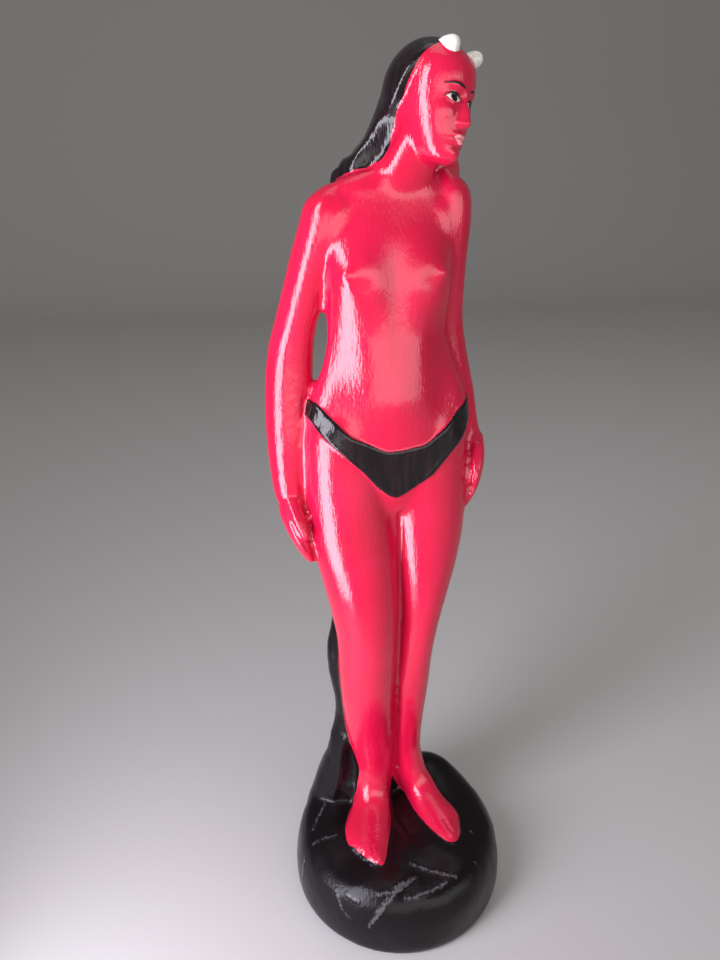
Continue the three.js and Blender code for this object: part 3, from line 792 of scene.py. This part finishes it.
def laid(path, tree, step=1.2):
    """A line's points, closer together and on the surface."""
    out = []
    for a, b in zip(path, path[1:]):
        a, b = Vector(a), Vector(b)
        count = max(1, round((b - a).length / step))
        out += [tree.find_nearest(a.lerp(b, n / count))[0] for n in range(count)]
    out.append(tree.find_nearest(Vector(path[-1]))[0])
    return np.array(out)


def line_reach(path, places):
    """Distances from the places to a line."""
    best = np.full(len(places), 1e9)
    near = np.nonzero(np.linalg.norm(places - path.mean(0), axis=1) < 12 + np.ptp(path, axis=0).max())[0]
    some = places[near]
    low = np.full(len(some), 1e9)
    for a, b in zip(path, path[1:]):
        d = b - a
        t = np.clip(((some - a) @ d) / max(d @ d, 1e-9), 0, 1)[:, None]
        low = np.minimum(low, np.linalg.norm(some - a - t * d, axis=1))
    best[near] = low
    return best


def path_reach(path, places, tree):
    """Distances from the places to a path laid on the surface."""
    return line_reach(laid(path, tree), places)


def rub_and_glint_reach(places, tree):
    """How far inside a stroke of rubbed paint and painted highlight each place lies."""
    return np.max([half - path_reach(path, places, tree) for half, path in RUB_AND_GLINT_STROKES], axis=0)


def noise_at(places, size, seed=0):
    """Smooth noise from -1 to 1 with features of about the given size in millimetres."""
    shift = Vector((seed * 17.3, seed * 5.1, -seed * 9.7))
    return np.array([noise.noise(Vector(p) / size + shift) for p in places])


def crags(places):
    """Broad chipped faces and ledges of the stone behind her legs."""
    steps = noise_at(places * (1, 1, 0.7), 9, 11) * 1.6
    folds = 0.5 - np.abs(noise_at(places * (1, 1, 0.45), 6, 12)) * 2.4
    return 0.22 * np.round(steps) + 0.2 * steps + 0.3 * folds - 0.3


def face_form(x, z):
    """How far a calm, even face stands out from the smooth head, in the head's own frame."""
    side = np.abs(x)
    t = np.clip((2.2 - z) / 6.8, 0, 1)
    bridge = (0.5 + 1.9 * t**1.25) * bell(side, 0.9 + 0.6 * t) * rise(3.4, 1.2, z) * rise(-6.5, -4.6, z)
    fold = z - (1.12 - 0.17 * (side - 3.4) ** 2)
    upper_lid = 0.16 * bell(fold, 0.24) * rise(6, 5, side) * rise(0.9, 1.6, side)
    rim = z + (0.9 - 0.13 * (side - 3.4) ** 2)
    lower_lid = 0.12 * bell(rim, 0.28) * rise(5.8, 4.8, side) * rise(1.2, 2, side)
    mouth = -0.42 * bell(side, 2.2) * bell(z + 8.02 + 0.03 * side**2, 0.2)
    return bridge + carve(FACE, side, z) + upper_lid + lower_lid + mouth


def sculpt(obj, trees):
    """Carves the face, the band, fingers, toes, the crest and locks of hair, and the rock's creases."""
    mesh = obj.data
    places = vectors(mesh.vertices)
    normals = vectors(mesh.vertex_normals, "vector")
    surface = BVHTree.FromPolygons([Vector(p) for p in places], [tuple(f.vertices) for f in mesh.polygons])
    far = {name: reach(tree, places) for name, tree in trees.items()}
    far["hair"] = np.minimum(far["cap"], far["fall"])
    far["skin"] = np.minimum(np.minimum(far["trunk"], far["arms"]), far["head"])
    on_hair = np.minimum(far["skin"], far["rock"]) - far["hair"]
    on_rock = far["skin"] - far["rock"]
    x, y, z = of_body(places).T

    def along(half_width, *paths):
        """A soft ridge along paths laid on the surface."""
        return bell(np.min([path_reach(path, places, surface) for path in paths], axis=0), half_width)

    up = np.zeros(len(places))
    band = band_reach(places, far["arms"])
    up += 0.45 * rise(-0.25, 0.35, band) + 0.12 * bell(band - 0.7, 0.5)
    up += (0.4 * along(0.8, CREST) + 0.4 * along(1.8, CREST)) * rise(-0.5, 0.6, on_hair)
    up -= 0.75 * along(0.65, CLEFT)
    up += 0.3 * along(0.45, *FINGER_RIDGES)
    up -= 0.4 * along(0.45, *FINGER_GROOVES)
    up -= 0.25 * along(0.4, *TOE_LINES)
    for at, height in NIPPLES:
        away = np.hypot(x - at, z - height)
        up += (0.7 * bell(away, 1.9) + 0.5 * bell(away, 0.9)) * (y < 0)
        up -= 0.5 * bell(np.hypot(x - 0.68 * at, z - height + 2.2), 2.6) * (y < 0)
    # The rock's strokes, partly rubbed paint and partly painted highlight, are raised a little.
    in_rub_and_glint = rub_and_glint_reach(places, surface)
    up += 0.1 * rise(-0.7, 0.2, in_rub_and_glint)
    up -= 0.35 * along(0.6, *FOOT_CREASES) * rise(-0.2, 0.6, on_rock)
    up += 1.1 * along(1.3, SPUR_RIDGE) * rise(0, 1, on_rock)
    up -= 1.5 * along(2.6, SPUR_HOLLOW) * rise(0, 1, on_rock)
    locks = np.sin((x * 0.95 + 1.1 * np.sin(z * 0.09)) * 2.1 + 0.5 * noise_at(places, 14, 4))
    strand = np.sin(x * 5.1 + 1.7 * np.sin(z * 0.07) + 1.6 * noise_at(places, 9, 5))
    lay = rise(0.4, 1.6, on_hair) * rise(5, 9, y) * rise(236, 226, z)
    up += lay * (0.3 * locks + 0.07 * strand)
    lump = noise_at(places, 11, 1)
    pebble = noise_at(places, 4.2, 2)
    rocky = rise(0, 1.5, on_rock)
    craggy = rise(26, 40, z)
    up += rocky * (0.34 * lump + 0.12 * pebble + craggy * crags(places)) * rise(0.6, 3, places[:, 2])
    up += (1 - rocky) * 0.07 * noise_at(places, 8, 3) * rise(0, 1, -on_hair + 1)
    up[far["horns"] < 0.6] *= 0
    places += normals * up[:, None]
    x, y, z = in_head(places).T
    front = rise(0.5, -3.5, y) * (np.abs(z) < 17)
    forward = -np.array(head_place().to_3x3())[:, 1]
    stands = front * face_form(x, z) * rise(0.5, -1.2, on_hair) * (far["head"] < 1.2)
    stands *= far["horns"] > 0.3
    places += stands[:, None] * forward
    places[:, 2] = np.where(places[:, 2] < 0.25, 0, places[:, 2])
    mesh.vertices.foreach_set("co", places.astype(np.float32).ravel())
    mesh.update()
    return far, in_rub_and_glint


def eye_paint(x, z):
    """Signed distances to the eyes' whites and to the black of iris, lid and brow, positive on them."""
    side = np.abs(x)
    dx = side - 3.4
    top = 0.98 - 0.27 * dx**2
    low = -0.78 + 0.2 * dx**2
    white = np.minimum(top - z, z - low)
    iris = 0.92 - np.hypot(dx, z - 0.14)
    lid_line = z - (1.08 - 0.23 * dx**2)
    lid = np.minimum(0.3 - 0.045 * np.abs(dx) ** 1.5 - np.abs(lid_line), 2.45 - np.abs(dx + 0.12))
    brow_line = z - (3.05 - 0.085 * (side - 3.5) ** 2)
    taper = 0.34 - 0.055 * np.abs(side - 2.9)
    brow = np.minimum(taper - np.abs(brow_line), 2.55 - np.abs(side - 3.75))
    black = np.maximum(np.maximum(iris, lid), brow)
    return np.minimum(white, -np.maximum(iris, lid)), black


def lip_paint(x, z):
    """Signed distances to the edge of the lips, positive on them."""
    side = np.abs(x)
    top = -7.98 + 1.02 * (1 - (side / 2.15) ** 2) - 0.25 * bell(side, 0.4)
    low = -8.02 - 1.22 * (1 - (side / 1.95) ** 2)
    return np.minimum(top - z, z - low)


def paint(obj, far, in_rub_and_glint):
    """Writes where each colour lies as signed distances in millimetres, which the enamel reads."""
    mesh = obj.data
    places = vectors(mesh.vertices)
    x, y, z = of_body(places).T
    skin = far["skin"]
    wobble = 0.12 * noise_at(places, 2.2, 7)
    head = in_head(places)
    on_cap = rise(-7, -4.5, head[:, 2]) * (np.linalg.norm(head, axis=1) < 19) * (far["horns"] > 0)
    other = np.minimum(skin, far["rock"])
    edge = hair_edge(*head.T) - 0.1
    edge = np.where(head[:, 0] > 0, np.maximum(edge, other - far["fall"]), edge)
    hair = (other - far["hair"]) * (1 - on_cap) + edge * on_cap
    edge_z, edge_at = np.array(NECK_EDGE, float).T
    left_of = NECK_ACROSS[0] * places[:, 0] + NECK_ACROSS[1] * places[:, 1]
    line = np.interp(z, edge_z, edge_at) - left_of
    # Away from her neck the line gives way to the true edge of the hair.
    slack = rise(222, 219, z) + rise(236.5, 238.5, z)
    slack = slack + rise(5, 8, places[:, 1]) + rise(-1.5, 0, left_of)
    hair = np.maximum(hair, np.minimum(line, 1.2 - far["fall"]) - 8 * slack)
    hair = np.minimum(hair, line + 8 * slack) + wobble
    rock = np.minimum(skin, far["hair"]) - far["rock"] + 0.1 + wobble
    band = band_reach(places, far["arms"]) + wobble
    horn = np.minimum(skin, far["hair"]) - far["horns"] + 0.1
    line_x, line_y = np.array(TOE_PAINT).T
    beyond = np.interp(places[:, 1], line_y[::-1], line_x[::-1]) - places[:, 0]
    toes = np.where((z < 27) & (x < -3) & (y < -8), beyond + 1.5 * wobble, -9)
    across, out, up = head.T
    faces = (out < -3) & (np.abs(up) < 14) & (far["head"] < 4)
    white, black = (np.where(faces, value, -9) for value in eye_paint(across, up))
    values = {
        "black": np.maximum.reduce((hair, rock, band, toes, black)),
        "white": np.maximum(horn, white),
        "pink": np.where(faces, lip_paint(across, up), -9),
        # Where the rock's strokes lie, painted a lighter grey as rubbed paint and painted highlight.
        "rub_and_glint": in_rub_and_glint,
        "over_rock": rise(-0.5, 0.5, np.maximum(rock, toes)),
    }
    for name, value in values.items():
        attribute = mesh.attributes.new(name, "FLOAT", "POINT")
        attribute.data.foreach_set("value", np.clip(value, -4, 4).astype(np.float32))


class Nodes:
    """Short calls that add linked nodes to one material."""

    def __init__(self, material):
        self.tree = material.node_tree
        self.tree.nodes.clear()

    def add(self, kind, sockets=(), **settings):
        node = self.tree.nodes.new(kind)
        for name, value in settings.items():
            setattr(node, name, value)
        for name, value in dict(sockets).items():
            socket = node.inputs[name]
            if isinstance(value, bpy.types.NodeSocket):
                self.tree.links.new(value, socket)
            else:
                socket.default_value = value
        return node

    def attribute(self, name):
        node = self.add("ShaderNodeAttribute", attribute_name=name, attribute_type="GEOMETRY")
        return node.outputs["Fac"]

    def noise(self, place, scale, detail=3.0, stretch=(1, 1, 1), roughness=0.5):
        mapping = self.add("ShaderNodeMapping", {"Vector": place, "Scale": stretch})
        sockets = {"Vector": mapping.outputs[0], "Scale": scale, "Detail": detail, "Roughness": roughness}
        return self.add("ShaderNodeTexNoise", sockets).outputs["Fac"]

    def remap(self, value, low, high, to_low=0.0, to_high=1.0):
        sockets = {"Value": value, "From Min": low, "From Max": high, "To Min": to_low, "To Max": to_high}
        return self.add("ShaderNodeMapRange", sockets, interpolation_type="SMOOTHSTEP").outputs[0]

    def math(self, operation, a, b):
        return self.add("ShaderNodeMath", {0: a, 1: b}, operation=operation).outputs[0]

    def mix(self, factor, a, b):
        # The colour sockets share their names with others, so they go by their places.
        return self.add("ShaderNodeMix", {0: factor, 6: a, 7: b}, data_type="RGBA").outputs[2]

    def bump(self, height, distance, normal=None):
        sockets = {"Height": height, "Distance": distance, "Strength": 1.0}
        if normal is not None:
            sockets["Normal"] = normal
        return self.add("ShaderNodeBump", sockets).outputs[0]


def enamel(colours):
    """Gloss enamel brushed over plaster, in four colours that the mesh's attributes part."""
    material = bpy.data.materials.new("enamel on plaster")
    material.use_nodes = True
    n = Nodes(material)
    place = n.add("ShaderNodeTexCoord").outputs["Object"]
    fine_edge = n.remap(n.noise(place, 1500, 2), 0.2, 0.8, -0.05, 0.05)

    def cover(name, edge=0.05):
        return n.remap(n.math("ADD", n.attribute(name), fine_edge), -edge, edge)

    black, white, pink = cover("black"), cover("white"), cover("pink")
    ragged = n.remap(n.noise(place, 1100, 5, roughness=0.7), 0.3, 0.7, -0.75, 0.45)
    rub_and_glint_share = n.math("ADD", n.attribute("rub_and_glint"), ragged)
    rub_and_glint = n.math("MULTIPLY", n.remap(rub_and_glint_share, -0.35, 0.4), n.attribute("over_rock"))
    tone = n.noise(place, 60, 2)
    streak = n.noise(place, 900, 3, (1, 1, 0.07))
    red = n.mix(n.remap(tone, 0.3, 0.7), tuple(colours.red), tuple(colours.red_deep))
    red = n.mix(n.remap(streak, 0.35, 0.75, 0, 0.1), red, tuple(colours.red_thin))
    worn = n.math("MULTIPLY", n.remap(streak, 0.4, 0.7), n.math("SUBTRACT", 1.0, n.attribute("over_rock")))
    dark = n.mix(worn, tuple(colours.black), tuple(colours.black_thin))
    # Lighter grey along the rock's strokes: partly rubbed paint, partly painted highlight.
    dark = n.mix(n.math("MULTIPLY", rub_and_glint, 0.8), dark, tuple(colours.rub_and_glint))
    soiled = n.remap(n.noise(place, 700, 3), 0.4, 0.7)
    bone = n.mix(soiled, tuple(colours.white), tuple(colours.white_soiled))
    colour = n.mix(pink, red, tuple(colours.pink))
    colour = n.mix(white, colour, bone)
    rough = n.remap(n.noise(place, 240, 3), 0.3, 0.7, 0.13, 0.2)
    bristle = n.bump(n.noise(place, 1500, 1.5, (1, 1, 0.25)), 0.00008)
    stipple = n.bump(n.noise(place, 1900, 1.5), 0.00003, bristle)
    grains = n.add("ShaderNodeTexVoronoi", {"Vector": place, "Scale": 420.0, "Randomness": 1.0})
    pits = n.bump(n.remap(grains.outputs["Distance"], 0.0, 0.12), 0.00001, stipple)
    edge = n.bump(n.remap(n.attribute("black"), -0.25, 0.25), 0.00004, pits)

    def gloss(base, roughness, level):
        sockets = {"Base Color": base, "Roughness": roughness, "Normal": edge, "IOR": 1.5}
        sockets["Specular IOR Level"] = level
        return n.add("ShaderNodeBsdfPrincipled", sockets).outputs[0]

    def either(share, first, second):
        return n.add("ShaderNodeMixShader", {0: share, 1: first, 2: second}).outputs[0]

    darks = either(n.attribute("over_rock"), gloss(dark, rough, 0.5), gloss(dark, 0.27, 0.24))
    on_black = n.math("MULTIPLY", black, n.math("SUBTRACT", 1.0, white))
    surface = either(on_black, gloss(colour, rough, 0.7), darks)
    n.add("ShaderNodeOutputMaterial", {"Surface": surface})
    return material


def plain(name, colour, roughness):
    """A material of one even colour."""
    material = bpy.data.materials.new(name)
    material.use_nodes = True
    shader = material.node_tree.nodes["Principled BSDF"]
    shader.inputs["Base Color"].default_value = tuple(colour)
    shader.inputs["Roughness"].default_value = roughness
    return material


def dressed(obj, material):
    """Shades a mesh smoothly, in its material."""
    obj.data.polygons.foreach_set("use_smooth", [True] * len(obj.data.polygons))
    obj.data.materials.append(material)


def softbox(name, size, place, aim, power, colour=(1, 1, 1)):
    """A rectangular lamp of size (width, height) in metres, turned to face aim."""
    data = bpy.data.lights.new(name, "AREA")
    data.shape = "RECTANGLE"
    data.size, data.size_y = size
    data.energy = power
    data.color = colour
    lamp = bpy.data.objects.new(name, data)
    lamp.location = place
    lamp.rotation_euler = (Vector(aim) - Vector(place)).to_track_quat("-Z", "Y").to_euler()
    bpy.context.scene.collection.objects.link(lamp)


def colour_property(name, description, default):
    return bpy.props.FloatVectorProperty(
        name=name, description=description, subtype="COLOR", size=4, min=0, max=1, default=default
    )


class FigurineSizes(bpy.types.PropertyGroup):
    """Sizes of the cast."""

    grain: bpy.props.FloatProperty(
        name="Grain", description="Size of the cast's larger facets, in millimetres",
        default=1.0, min=0.5, max=3,
    )
    fine_grain: bpy.props.FloatProperty(
        name="Fine grain", description="Size of the facets it is drawn to, in millimetres",
        default=0.42, min=0.3,
    )
    soften: bpy.props.IntProperty(
        name="Soften", description="How often the joints of the cast are smoothed",
        default=40, min=0, max=200,
    )


class FigurineColours(bpy.types.PropertyGroup):
    """Colours of the enamel."""

    red: colour_property("Red", "Enamel of the skin", (0.62, 0.006, 0.05, 1))
    red_deep: colour_property("Deep red", "Where the red lies thicker", (0.55, 0.004, 0.038, 1))
    red_thin: colour_property("Thin red", "Where the brush left the red thinner", (0.68, 0.018, 0.08, 1))
    black: colour_property("Black", "Enamel of the hair, band and rock", (0.005, 0.003, 0.004, 1))
    black_thin: colour_property("Thin black", "Where the black lies thinner", (0.016, 0.006, 0.009, 1))
    white: colour_property("White", "Enamel of the horns and the eyes", (0.84, 0.82, 0.76, 1))
    white_soiled: colour_property("Soiled white", "Where the white is dirty", (0.7, 0.66, 0.6, 1))
    pink: colour_property("Pink", "Enamel of the lips", (0.86, 0.3, 0.33, 1))
    # A lighter grey for the rock's strokes, partly rubbed paint and partly painted highlight.
    rub_and_glint: colour_property("Rub_and_glint", "Rubbed edges of the rock", (0.11, 0.1, 0.115, 1))


class FigurineStudio(bpy.types.PropertyGroup):
    """The stage's lights."""

    window: bpy.props.FloatProperty(
        name="Window", description="Power of the tall soft light at her right",
        default=2, min=0, unit="POWER",
    )
    fill: bpy.props.FloatProperty(
        name="Fill", description="Power that the soft lights in front and on top are shares of",
        default=6, min=0, unit="POWER",
    )
    lens: bpy.props.FloatProperty(
        name="Lens", description="Focal length of the camera, in millimetres",
        default=27, min=10, unit="CAMERA",
    )


class FIGURINE_OT_cast(bpy.types.Operator):
    """Model, carve and paint the figurine in one piece"""

    bl_idname = "figurine.cast"
    bl_label = "Figurine"

    def execute(self, context):
        scene = context.scene
        sizes = scene.figurine_sizes
        shells = shells_of_the_figure()
        trees = {name: clean_tree(name, bm) for name, bm in shells.items()}
        whole = merged(shells.values())
        fine = as_object("fine cast", whole)
        voxels(fine, sizes.fine_grain)
        softened(fine, sizes.soften, trees)
        cast = as_object("painted_figurine", whole)
        voxels(cast, sizes.grain)
        drawn_to(cast, fine)

        def finer(places):
            head, hands, feet = zones(places)
            on_band = (np.abs(band_outline(places)) < 1.4) & (np.abs(of_body(places)[:, 0]) < 25)
            in_rub_and_glint = rub_and_glint_reach(places, trees["rock"]) > -1.4
            front = in_head(places)[:, 1] < 6
            cleft = path_reach(CLEFT, places, trees["trunk"]) < 1.3
            return (head & front) | hands | feet | on_band | in_rub_and_glint | cleft

        def finest(places):
            x, y, z = in_head(places).T
            face = (y < -2.5) & (np.abs(x) < 7) & (z > -13) & (z < 4.6)
            return face | (rub_and_glint_reach(places, trees["rock"]) > -0.8)

        def painted(places):
            x, y, z = in_head(places).T
            side = np.abs(x)
            eyes = (side > 0.8) & (side < 6.3) & (z > -1) & (z < 3.6)
            lips = (side < 2.4) & (np.abs(z + 8) < 1.5)
            return (y < -3) & (eyes | lips)

        for wanted in (finer, finest, painted):
            refine(cast, wanted)
            drawn_to(cast, fine)
        even = cast.modifiers.new("even", "SMOOTH")
        even.factor = 0.5
        even.iterations = 2
        settled(cast)
        far, in_rub_and_glint = sculpt(cast, trees)
        paint(cast, far, in_rub_and_glint)
        bpy.data.objects.remove(fine)
        for bm in (*shells.values(), whole):
            bm.free()
        cast.data.transform(Matrix.Scale(MM, 4))
        dressed(cast, enamel(scene.figurine_colours))
        triangles = sum(len(f.vertices) - 2 for f in cast.data.polygons)
        if triangles > MOST_TRIANGLES:
            raise RuntimeError(f"the cast has {triangles} triangles")
        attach(cast, "root")
        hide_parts("figurine")
        return {"FINISHED"}


class FIGURINE_OT_studio(bpy.types.Operator):
    """Set the pale floor, the soft lights and the camera"""

    bl_idname = "figurine.studio"
    bl_label = "Studio"

    def execute(self, context):
        scene = context.scene
        studio = scene.figurine_studio
        bm = bmesh.new()
        bmesh.ops.create_grid(bm, x_segments=1, y_segments=1, size=FLOOR_HALF)
        far_edge = [e for e in bm.edges if all(v.co.y > 1 for v in e.verts)]
        for n in range(1, BEND_STEPS + 1):
            angle = math.radians(90 / BEND_STEPS * n)
            grown = bmesh.ops.extrude_edge_only(bm, edges=far_edge)["geom"]
            far_edge = [e for e in grown if isinstance(e, bmesh.types.BMEdge)]
            for vert in (v for v in grown if isinstance(v, bmesh.types.BMVert)):
                vert.co.y = FLOOR_HALF + BEND_RADIUS * math.sin(angle)
                vert.co.z = BEND_RADIUS * (1 - math.cos(angle))
        grown = bmesh.ops.extrude_edge_only(bm, edges=far_edge)["geom"]
        for vert in (v for v in grown if isinstance(v, bmesh.types.BMVert)):
            vert.co.z += BACKDROP_HEIGHT
        bmesh.ops.scale(bm, vec=(2, 1, 1), verts=bm.verts)
        bmesh.ops.recalc_face_normals(bm, faces=bm.faces)
        floor = as_object("floor", bm)
        bm.free()
        dressed(floor, plain("pale floor", (0.62, 0.6, 0.59, 1), 0.8))
        daylight = (0.97, 0.95, 1.08)
        softbox("window", (0.1, 0.62), (-0.24, -0.125, 0.3), (0, 0, 0.42), studio.window, daylight)
        softbox("fill", (1.7, 0.42), (0.2, -0.95, 0.31), (0, 0, 0.18), studio.fill * 0.5)
        softbox("wide fill", (2, 0.66), (0.2, -0.99, 0.36), (0, 0, 0.18), studio.fill * 0.45)
        softbox("top", (0.8, 0.8), (0.1, 0.1, 1.3), (0, 0, 0.1), studio.fill * 0.3)
        world = bpy.data.worlds.new("studio")
        world.use_nodes = True
        background = world.node_tree.nodes["Background"].inputs
        background["Color"].default_value = (0.9, 0.88, 0.88, 1)
        background["Strength"].default_value = 0.22
        scene.world = world
        scene.view_settings.view_transform = "Standard"
        data = bpy.data.cameras.new("camera")
        data.lens = studio.lens
        data.sensor_width = 36
        data.clip_start = 0.01
        camera = bpy.data.objects.new("camera", data)
        camera.location = CAMERA_PLACE
        camera.rotation_euler = (math.radians(CAMERA_PITCH), 0, math.radians(CAMERA_TURN))
        scene.collection.objects.link(camera)
        scene.camera = camera
        return {"FINISHED"}


class FIGURINE_PT_panel(bpy.types.Panel):
    """Figurine tools"""

    bl_idname = "FIGURINE_PT_panel"
    bl_label = "Figurine"
    bl_space_type = "VIEW_3D"
    bl_region_type = "UI"
    bl_category = "Figurine"

    def draw(self, context):
        scene = context.scene
        for operator in OPERATORS:
            self.layout.operator(operator.bl_idname)
        for group in (scene.figurine_sizes, scene.figurine_colours, scene.figurine_studio):
            for name in group.bl_rna.properties.keys():
                if name not in {"rna_type", "name"}:
                    self.layout.prop(group, name)


OPERATORS = (FIGURINE_OT_studio, FIGURINE_OT_cast)
GROUPS = {
    "figurine_sizes": FigurineSizes,
    "figurine_colours": FigurineColours,
    "figurine_studio": FigurineStudio,
}


def register():
    for cls in (*GROUPS.values(), *OPERATORS, FIGURINE_PT_panel):
        bpy.utils.register_class(cls)
    for name, cls in GROUPS.items():
        setattr(bpy.types.Scene, name, bpy.props.PointerProperty(type=cls))


def unregister():
    for name in GROUPS:
        delattr(bpy.types.Scene, name)
    for cls in (FIGURINE_PT_panel, *reversed(OPERATORS), *reversed(GROUPS.values())):
        bpy.utils.unregister_class(cls)


def main():
    register()
    for operator in OPERATORS:
        group, name = operator.bl_idname.split(".")
        getattr(getattr(bpy.ops, group), name)()


if __name__ == "__main__":
    main()
